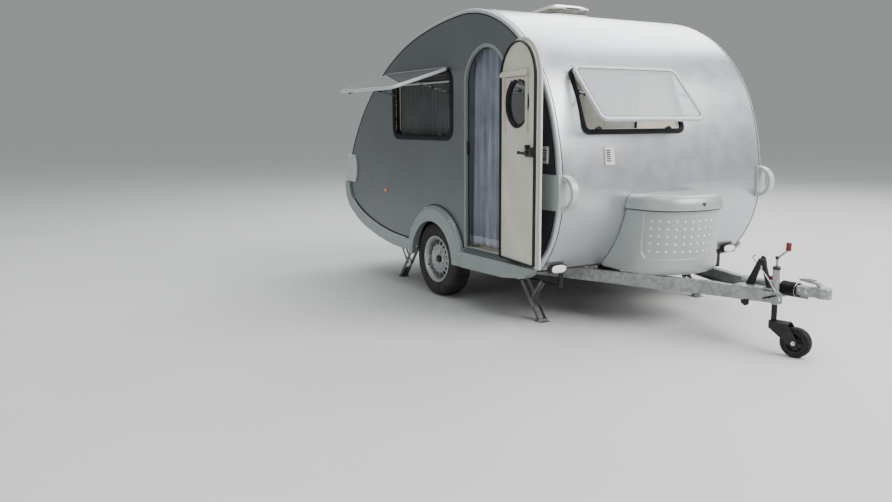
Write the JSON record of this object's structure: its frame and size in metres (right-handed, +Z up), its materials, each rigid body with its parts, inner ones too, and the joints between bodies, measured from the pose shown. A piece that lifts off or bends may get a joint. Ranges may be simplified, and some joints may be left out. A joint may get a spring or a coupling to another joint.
{
  "type": "travel caravan",
  "caption": "Small teardrop travel caravan with hinged entrance door, top-hung windows, drawbar with front locker and jockey wheel, and corner steadies.",
  "frame": {"origin": "middle of the whole vehicle's length and width, on the ground", "axes": "+X forward towards the coupling, +Y to the left, +Z up; the entrance door is on -Y"},
  "size_m": [4.5956, 3.0246, 2.3227],
  "materials": {
    "wall_paint": "fine metallic dark grey",
    "silver_paint": "metallic silver",
    "trim_aluminium": "satin",
    "skirt_plastic": "satin light grey",
    "black_plastic": "satin",
    "white_plastic": "satin",
    "door_frame_plastic": "satin",
    "door_liner": "satin",
    "tinted_glass": "grey tint",
    "black_rubber": "matte",
    "tyre": "matte",
    "wheel_silver": "satin silver",
    "galvanised": "hot-dip galvanised",
    "black_steel": "satin black",
    "lamp_clear": "clear",
    "lamp_red": "red",
    "floor_board": "vinyl-faced board",
    "cabinet_wood": "satin veneer",
    "seat_fabric": "woven",
    "curtain_fabric": "thin pleated cloth"
  },
  "bodies": {
    "caravan": {"side_wall_right": "wall_paint", "side_wall_left": "wall_paint", "front_panel": "silver_paint", "rear_panel": "silver_paint", "roof_panel": "silver_paint", "rear_lower_panel": "skirt_plastic", "floor_panel": "floor_board", "edge_trims": "trim_aluminium", "lower_skirts": "skirt_plastic", "fenders": "skirt_plastic", "wheel_boxes": "black_plastic", "door_frame": "door_frame_plastic", "door_hinges": "black_plastic", "window_panes": "tinted_glass", "window_frames": "black_rubber", "roof_hatch_frame": "skirt_plastic", "front_box": "skirt_plastic", "chassis_rail_right": "galvanised", "chassis_rail_left": "galvanised", "cross_members": "galvanised", "axle_beam": "galvanised", "swing_arms": "galvanised", "overrun_housing": "black_steel", "bellows": "black_rubber", "coupling_head": "galvanised", "coupling_handle": "black_plastic", "handbrake_lever": "black_steel", "jockey_clamp": "galvanised", "steady_brackets": "galvanised", "grab_handles": "skirt_plastic", "front_lamps": "lamp_clear", "rear_lamps": "lamp_red", "vent_plates": "white_plastic", "bench_boxes": "cabinet_wood", "seat_cushions": "seat_fabric", "kitchen_unit": "cabinet_wood", "curtains": "curtain_fabric", "cabin_table": "cabinet_wood"},
    "door": {"door_leaf": "door_liner", "door_window": "tinted_glass", "door_latch": "black_plastic", "door_blind": "white_plastic"},
    "front_box_lid": {"front_box_lid": "skirt_plastic"},
    "roof_hatch_lid": {"roof_hatch_lid": "tinted_glass"},
    "wheel_right": {"tyre_right": "tyre", "rim_right": "wheel_silver"},
    "wheel_left": {"tyre_left": "tyre", "rim_left": "wheel_silver"},
    "jockey_tube": {"jockey_tube": "galvanised"},
    "jockey_fork": {"jockey_fork": "galvanised"},
    "jockey_wheel": {"jockey_wheel": "black_rubber"},
    "steady_leg_front_right": {"steady_leg_front_right": "galvanised"},
    "steady_link_front_right": {"steady_link_front_right": "galvanised"},
    "steady_leg_front_left": {"steady_leg_front_left": "galvanised"},
    "steady_link_front_left": {"steady_link_front_left": "galvanised"},
    "steady_leg_rear_right": {"steady_leg_rear_right": "galvanised"},
    "steady_link_rear_right": {"steady_link_rear_right": "galvanised"},
    "steady_leg_rear_left": {"steady_leg_rear_left": "galvanised"},
    "steady_link_rear_left": {"steady_link_rear_left": "galvanised"}
  },
  "joints": [
    {"name": "wheel_right_spin", "type": "hinge", "parent": "caravan", "child": "wheel_right", "pos_m": [-0.585, -0.887, 0.301], "axis": [0, 1, 0], "continuous": true},
    {"name": "wheel_left_spin", "type": "hinge", "parent": "caravan", "child": "wheel_left", "pos_m": [-0.585, 0.887, 0.301], "axis": [0, 1, 0], "continuous": true},
    {"name": "door_swing", "type": "hinge", "parent": "caravan", "child": "door", "pos_m": [0.448, -1.018, 0.9], "axis": [0, 0, 1], "range_deg": [-171, 3]},
    {"name": "front_box_lid_hinge", "type": "hinge", "parent": "caravan", "child": "front_box_lid", "pos_m": [1.053, -0.065, 0.94], "axis": [0, -1, 0], "range_deg": [0, 70]},
    {"name": "roof_hatch_hinge", "type": "hinge", "parent": "caravan", "child": "roof_hatch_lid", "pos_m": [-0.467, 0, 2.257], "axis": [0, -1, 0], "range_deg": [-4.5, 50]},
    {"name": "jockey_height", "type": "slide", "parent": "caravan", "child": "jockey_tube", "axis": [0, 0, 1], "range_m": [-0.12, 0.06]},
    {"name": "jockey_swivel", "type": "hinge", "parent": "jockey_tube", "child": "jockey_fork", "pos_m": [1.993, -0.092, 0.2], "axis": [0, 0, 1], "continuous": true},
    {"name": "jockey_wheel_spin", "type": "hinge", "parent": "jockey_fork", "child": "jockey_wheel", "pos_m": [2.12884, -0.05813, 0.092], "axis": [-0.2419, 0.9703, 0], "continuous": true},
    {"name": "steady_front_right_fold", "type": "hinge", "parent": "caravan", "child": "steady_leg_front_right", "pos_m": [0.383, -0.79, 0.29], "axis": [0, -1, 0], "range_deg": [0, 45]},
    {"name": "steady_front_right_link", "type": "hinge", "parent": "steady_leg_front_right", "child": "steady_link_front_right", "pos_m": [0.49628, -0.79, 0.15011], "axis": [0, -1, 0], "range_deg": [-90, 0]},
    {"name": "steady_front_left_fold", "type": "hinge", "parent": "caravan", "child": "steady_leg_front_left", "pos_m": [0.383, 0.79, 0.29], "axis": [0, -1, 0], "range_deg": [0, 45]},
    {"name": "steady_front_left_link", "type": "hinge", "parent": "steady_leg_front_left", "child": "steady_link_front_left", "pos_m": [0.49628, 0.79, 0.15011], "axis": [0, -1, 0], "range_deg": [-90, 0]},
    {"name": "steady_rear_right_fold", "type": "hinge", "parent": "caravan", "child": "steady_leg_rear_right", "pos_m": [-1.247, -0.79, 0.29], "axis": [0, 1, 0], "range_deg": [0, 45]},
    {"name": "steady_rear_right_link", "type": "hinge", "parent": "steady_leg_rear_right", "child": "steady_link_rear_right", "pos_m": [-1.36028, -0.79, 0.15011], "axis": [0, 1, 0], "range_deg": [-90, 0]},
    {"name": "steady_rear_left_fold", "type": "hinge", "parent": "caravan", "child": "steady_leg_rear_left", "pos_m": [-1.247, 0.79, 0.29], "axis": [0, 1, 0], "range_deg": [0, 45]},
    {"name": "steady_rear_left_link", "type": "hinge", "parent": "steady_leg_rear_left", "child": "steady_link_rear_left", "pos_m": [-1.36028, 0.79, 0.15011], "axis": [0, 1, 0], "range_deg": [-90, 0]}
  ],
  "couplings": [
    {"joint": "steady_front_right_link", "follows": "steady_front_right_fold", "ratio": -2},
    {"joint": "steady_front_left_link", "follows": "steady_front_left_fold", "ratio": -2},
    {"joint": "steady_rear_right_link", "follows": "steady_rear_right_fold", "ratio": -2},
    {"joint": "steady_rear_left_link", "follows": "steady_rear_left_fold", "ratio": -2}
  ]
}
